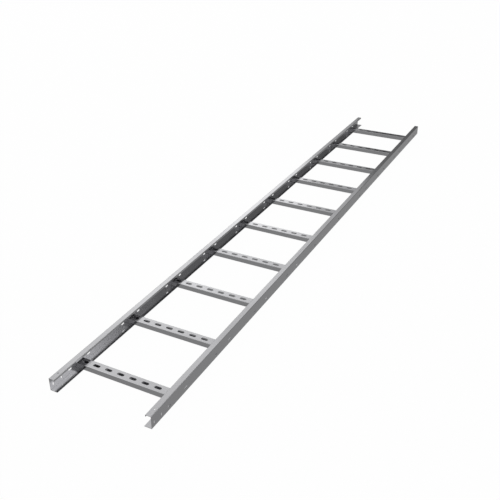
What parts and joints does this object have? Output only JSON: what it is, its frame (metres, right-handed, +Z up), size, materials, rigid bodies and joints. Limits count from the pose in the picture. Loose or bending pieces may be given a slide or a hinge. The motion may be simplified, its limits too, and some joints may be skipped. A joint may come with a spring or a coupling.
{
  "type": "cable ladder section",
  "caption": "Straight cable ladder section of galvanised steel: C-shaped side rails facing inwards, joined by slotted channel rungs, open between the rungs.",
  "frame": {"origin": "on the floor, under the middle of the section's length and width", "axes": "+X across the ladder towards the right rail, +Y along the rails, +Z up"},
  "size_m": [0.403, 3, 0.05],
  "materials": {
    "galvanised_steel": "satin"
  },
  "bodies": {
    "root": {"rail_left": "galvanised_steel", "rail_right": "galvanised_steel", "rung_01": "galvanised_steel", "rung_02": "galvanised_steel", "rung_03": "galvanised_steel", "rung_04": "galvanised_steel", "rung_05": "galvanised_steel", "rung_06": "galvanised_steel", "rung_07": "galvanised_steel", "rung_08": "galvanised_steel", "rung_09": "galvanised_steel", "rung_10": "galvanised_steel"}
  },
  "joints": []
}
